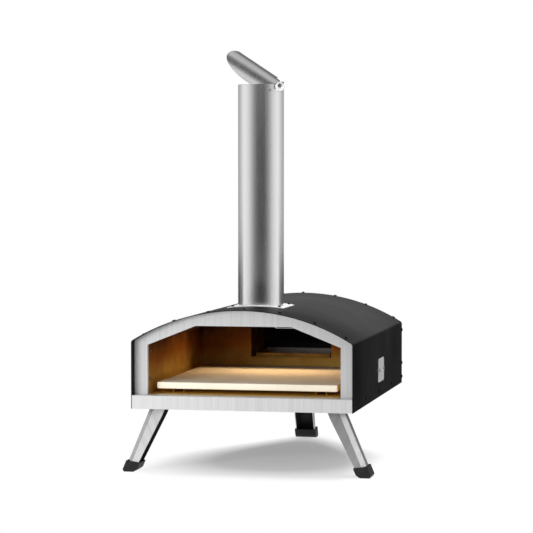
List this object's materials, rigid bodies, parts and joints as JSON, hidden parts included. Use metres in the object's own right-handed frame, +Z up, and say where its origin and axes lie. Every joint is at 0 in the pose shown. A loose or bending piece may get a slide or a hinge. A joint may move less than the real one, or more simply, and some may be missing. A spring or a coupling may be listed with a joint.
{
  "type": "wood fired pizza oven",
  "caption": "Portable arched oven on folding legs: open mouth with a pizza stone, fuel tray and chute at the back, tall flue pipe with a hinged rain cap.",
  "frame": {"origin": "on the ground under the middle of the oven", "axes": "+Z up along the flue pipe, mouth faces -Y, +X to the right as seen from the front"},
  "size_m": [0.4528, 0.6406, 0.7603],
  "materials": {
    "black_coat": "matte black powder coat",
    "brushed_panel": "vertically brushed stainless sheet",
    "brushed_tube": "brushed stainless tube",
    "brushed_leg": "brushed bent sheet",
    "tinted_steel": "heat tinted stainless, gold to brown",
    "bright_wire": "bright plated",
    "dark_screw": "black oxide",
    "cordierite": "cream cordierite, fine grained",
    "ceramic_wool": "white ceramic fibre",
    "black_rubber": "matte moulded rubber",
    "black_grip": "matte heat resistant resin"
  },
  "bodies": {
    "oven": {"outer_shell": "black_coat", "insulation_blanket": "ceramic_wool", "inner_liner": "tinted_steel", "base_pan": "black_coat", "base_board": "ceramic_wool", "inner_floor": "tinted_steel", "front_arch": "brushed_panel", "front_apron": "brushed_panel", "rear_panel": "black_coat", "back_wall": "tinted_steel", "firebox": "tinted_steel", "stone_rail_left": "tinted_steel", "stone_rail_right": "tinted_steel", "tray_runner_left": "tinted_steel", "tray_runner_right": "tinted_steel", "fuel_chute": "black_coat", "lid_pin": "bright_wire", "flue_plate": "brushed_panel", "flue_collar": "brushed_tube", "leg_bracket_left": "brushed_leg", "leg_bracket_right": "brushed_leg", "leg_bracket_rear": "brushed_leg", "leg_pin_left": "bright_wire", "leg_pin_right": "bright_wire", "leg_pin_rear": "bright_wire", "side_badge": "brushed_panel", "badge_rivets": "bright_wire", "roof_screws": "dark_screw", "side_screws": "dark_screw", "plate_screws": "dark_screw", "floor_screws": "bright_wire", "wall_screws": "bright_wire", "rear_screws": "dark_screw"},
    "stone": {"pizza_stone": "cordierite"},
    "fuel_drawer": {"fuel_tray": "tinted_steel", "tray_face": "brushed_panel", "tray_handle": "bright_wire", "handle_grip": "black_grip"},
    "lid": {"chute_lid": "black_coat", "lid_knob": "black_grip"},
    "chimney": {"flue_pipe": "brushed_tube", "cap_bracket": "brushed_panel", "cap_pin": "bright_wire", "cap_nut": "bright_wire"},
    "cap": {"rain_cap": "brushed_tube", "cap_yoke": "brushed_panel"},
    "leg_left": {"leg_left": "brushed_leg", "foot_left": "black_rubber"},
    "leg_right": {"leg_right": "brushed_leg", "foot_right": "black_rubber"},
    "leg_rear": {"leg_rear": "brushed_leg", "foot_rear": "black_rubber"}
  },
  "joints": [
    {"name": "stone_slide", "type": "slide", "parent": "oven", "child": "stone", "axis": [0, -1, 0], "range_m": [0, 0.4]},
    {"name": "tray_slide", "type": "slide", "parent": "oven", "child": "fuel_drawer", "axis": [0, 1, 0], "range_m": [0, 0.13]},
    {"name": "lid_hinge", "type": "hinge", "parent": "oven", "child": "lid", "pos_m": [0, 0.27245, 0.2569], "axis": [1, 0, 0], "range_deg": [0, 85]},
    {"name": "pipe_lift", "type": "slide", "parent": "oven", "child": "chimney", "axis": [0, 0, 1], "range_m": [0, 0.06]},
    {"name": "cap_hinge", "type": "hinge", "parent": "chimney", "child": "cap", "pos_m": [0.041, -0.14835, 0.6955], "axis": [0, 1, 0], "range_deg": [0, 50]},
    {"name": "leg_left_fold", "type": "hinge", "parent": "oven", "child": "leg_left", "pos_m": [-0.161, -0.26335, 0.119], "axis": [0, -1, 0], "range_deg": [0, 112.7]},
    {"name": "leg_right_fold", "type": "hinge", "parent": "oven", "child": "leg_right", "pos_m": [0.161, -0.26335, 0.119], "axis": [0, 1, 0], "range_deg": [0, 112.7]},
    {"name": "leg_rear_fold", "type": "hinge", "parent": "oven", "child": "leg_rear", "pos_m": [0, 0.24965, 0.119], "axis": [-1, 0, 0], "range_deg": [0, 112.7]}
  ]
}
